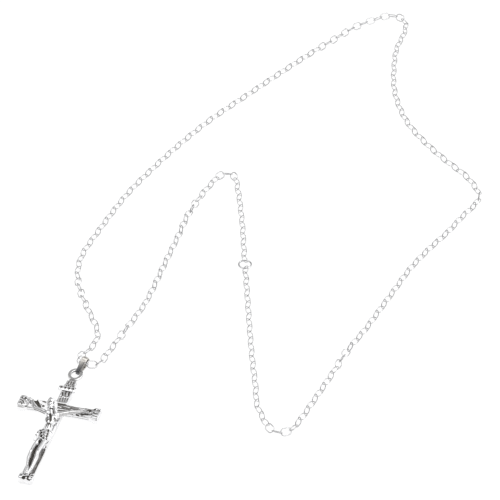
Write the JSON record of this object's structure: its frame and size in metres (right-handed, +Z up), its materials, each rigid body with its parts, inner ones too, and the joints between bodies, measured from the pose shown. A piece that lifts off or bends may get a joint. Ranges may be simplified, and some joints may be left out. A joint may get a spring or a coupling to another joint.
{
  "type": "cross necklace",
  "caption": "Silver crucifix pendant on a cable chain, closed by a plain jump ring and laid out on a flat surface.",
  "frame": {"origin": "on the surface it lies on, under the middle of the whole layout", "axes": "+Z up from the surface, +Y from the cross's foot towards the far end of the loop, +X to the side of the loop away from the cross"},
  "size_m": [0.103, 0.172, 0.0045],
  "materials": {
    "cast_silver": "polished cast silver, oxidised dark in the hollows",
    "polished_silver": "bright polished silver wire and strip"
  },
  "bodies": {
    "root": {"crucifix": "cast_silver", "bail": "polished_silver", "jump_ring": "polished_silver", "chain_right": "polished_silver", "chain_left": "polished_silver"}
  },
  "joints": []
}
